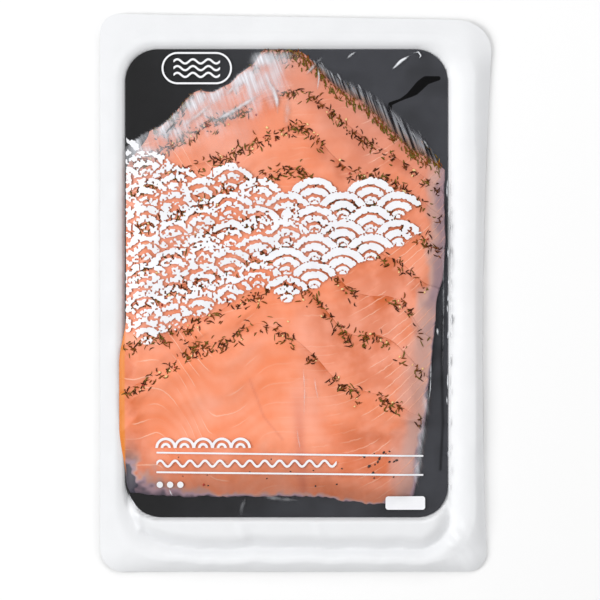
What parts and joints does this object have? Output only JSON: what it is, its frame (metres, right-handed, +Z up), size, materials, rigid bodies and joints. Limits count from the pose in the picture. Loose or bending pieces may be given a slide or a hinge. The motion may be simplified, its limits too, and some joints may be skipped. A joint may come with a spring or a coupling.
{
  "type": "vacuum pack of sliced cured salmon",
  "caption": "Flat vacuum pack: shallow white tray with a drooping flange, black board, overlapping slices of cured salmon edged with dill, and a clear sealed film.",
  "frame": {"origin": "bottom centre of the pack's bounding box, on the surface it lies on", "axes": "+Z up out of the film side, +Y along the pack towards its head end, +X to the right"},
  "size_m": [0.168, 0.2394, 0.0117],
  "materials": {
    "tray": "soft white thermoformed sheet, satin",
    "board": "black coated board, satin",
    "salmon": "moist cured flesh with pale fat lines",
    "dill": "chopped dill and spice, dull",
    "film": "clear film, glossy",
    "ink": "white ink on the film"
  },
  "bodies": {
    "root": {"tray": "tray", "board": "board", "slice_1": "salmon", "slice_2": "salmon", "slice_3": "salmon", "slice_4": "salmon", "slice_5": "salmon", "slice_6": "salmon", "slice_7": "salmon", "slice_8": "salmon", "film": "film"}
  },
  "joints": []
}
